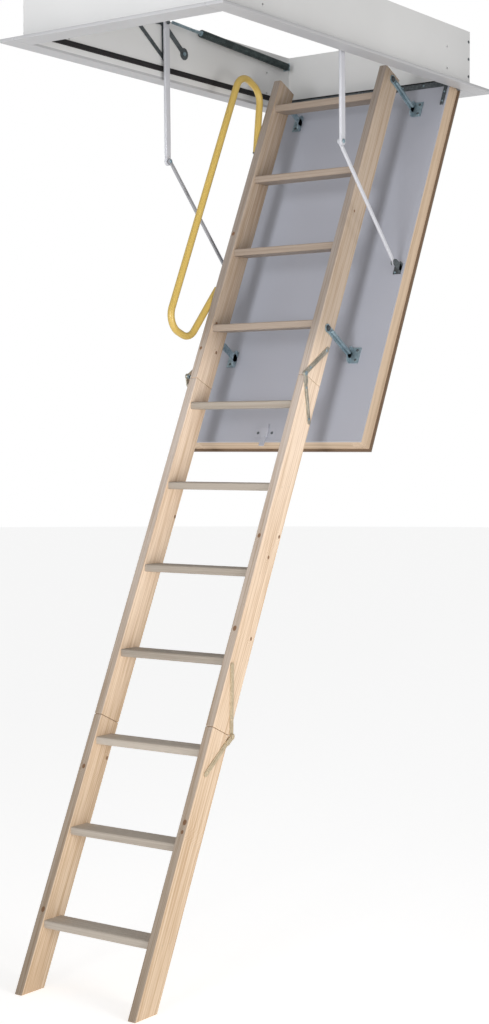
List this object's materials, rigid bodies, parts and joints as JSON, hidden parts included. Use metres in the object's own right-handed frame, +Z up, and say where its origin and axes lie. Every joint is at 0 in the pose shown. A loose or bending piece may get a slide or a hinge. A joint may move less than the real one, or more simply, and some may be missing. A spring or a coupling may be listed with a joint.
{
  "type": "attic ladder",
  "caption": "Folding timber attic ladder with an insulated hatch, ceiling frame, sprung arms and a side handrail, shown open",
  "frame": {"origin": "middle of the trim frame in the plane of the ceiling", "axes": "+X across the treads, +Y towards the hatch hinge, +Z up"},
  "size_m": [0.82, 1.678, 2.948],
  "materials": {
    "white_frame": "white painted pine",
    "trim": "satin white",
    "seal": "matte black",
    "dark_steel": "dark zinc plate",
    "spring_steel": "oiled dark",
    "galvanised": "blue galvanised",
    "zinc": "pale zinc plate",
    "hatch_face": "white foil on fibreboard",
    "hatch_wood": "plain pine",
    "insulation": "light foam",
    "pine": "clear pine with knots",
    "tread_wood": "beech, grooved",
    "handrail_yellow": "yellow powder coat",
    "arm_white": "white powder coat"
  },
  "bodies": {
    "frame": {"frame_board_left": "white_frame", "frame_board_right": "white_frame", "frame_board_front": "white_frame", "frame_board_rear": "white_frame", "trim_left": "trim", "trim_right": "trim", "trim_front": "trim", "trim_rear": "trim", "frame_seal": "seal", "frame_screws": "dark_steel", "arm_bracket_left": "dark_steel", "arm_bracket_right": "dark_steel", "spring_left": "spring_steel", "spring_right": "spring_steel", "spring_anchors": "galvanised", "hatch_hinge_fixed": "dark_steel", "hatch_hinge_pins": "galvanised", "latch_strike": "zinc"},
    "hatch": {"hatch_hinge_moving": "dark_steel", "hatch_inner_panel": "hatch_face", "hatch_outer_panel": "hatch_face", "hatch_rail_left": "hatch_wood", "hatch_rail_right": "hatch_wood", "hatch_rail_top": "hatch_wood", "hatch_rail_bottom": "hatch_wood", "hatch_insulation": "insulation", "latch_case": "galvanised", "link_bracket_left": "dark_steel", "link_bracket_right": "dark_steel", "ladder_bracket_upper_left": "galvanised", "ladder_bracket_upper_right": "galvanised", "ladder_bracket_lower_left": "galvanised", "ladder_bracket_lower_right": "galvanised", "ladder_bracket_bolts": "dark_steel", "stile_top_left": "pine", "stile_top_right": "pine", "treads_top": "tread_wood", "tread_screws_top": "dark_steel", "fold_1_upper_straps": "zinc", "fold_1_pins": "zinc", "handrail": "handrail_yellow", "handrail_clips": "galvanised"},
    "middle_section": {"stile_middle_left": "pine", "stile_middle_right": "pine", "treads_middle": "tread_wood", "tread_screws_middle": "dark_steel", "fold_1_lower_straps": "zinc", "fold_2_upper_straps": "zinc", "fold_2_pins": "zinc"},
    "bottom_section": {"stile_bottom_left": "pine", "stile_bottom_right": "pine", "treads_bottom": "tread_wood", "tread_screws_bottom": "dark_steel", "fold_2_lower_straps": "zinc"},
    "upper_arms": {"upper_arm_left": "arm_white", "upper_arm_right": "arm_white"},
    "lower_links": {"lower_link_left": "arm_white", "lower_link_right": "arm_white"},
    "spring_rods": {"spring_rods": "galvanised"},
    "latch_bolt": {"latch_bolt": "zinc"}
  },
  "joints": [
    {"name": "hatch_hinge", "type": "hinge", "parent": "frame", "child": "hatch", "pos_m": [0, 0.647, -0.004], "axis": [-1, 0, 0], "range_deg": [0, 50]},
    {"name": "upper_fold", "type": "hinge", "parent": "hatch", "child": "middle_section", "pos_m": [0, -0.09466, -0.97018], "axis": [-1, 0, 0], "range_deg": [0, 110]},
    {"name": "lower_fold", "type": "hinge", "parent": "middle_section", "child": "bottom_section", "pos_m": [0, -0.47392, -2.03414], "axis": [1, 0, 0], "range_deg": [0, 110]},
    {"name": "upper_arm_swing", "type": "hinge", "parent": "frame", "child": "upper_arms", "pos_m": [0, -0.064, 0.173], "axis": [-1, 0, 0], "range_deg": [0, 77.75]},
    {"name": "lower_link_swing", "type": "hinge", "parent": "hatch", "child": "lower_links", "pos_m": [0, 0.2607, -0.61115], "axis": [1, 0, 0], "range_deg": [0, 75.14]},
    {"name": "spring_slide", "type": "slide", "parent": "frame", "child": "spring_rods", "axis": [0, 0.9988, -0.0495], "range_m": [0, 0.025]},
    {"name": "latch_slide", "type": "slide", "parent": "hatch", "child": "latch_bolt", "axis": [0, 0.4195, 0.9078], "range_m": [0, 0.01]}
  ],
  "couplings": [
    {"joint": "lower_fold", "follows": "upper_fold", "ratio": 1},
    {"joint": "upper_arm_swing", "follows": "hatch_hinge", "ratio": 1.5548},
    {"joint": "lower_link_swing", "follows": "hatch_hinge", "ratio": 1.5026},
    {"joint": "spring_slide", "follows": "hatch_hinge", "m_per_rad": 0.028648}
  ]
}
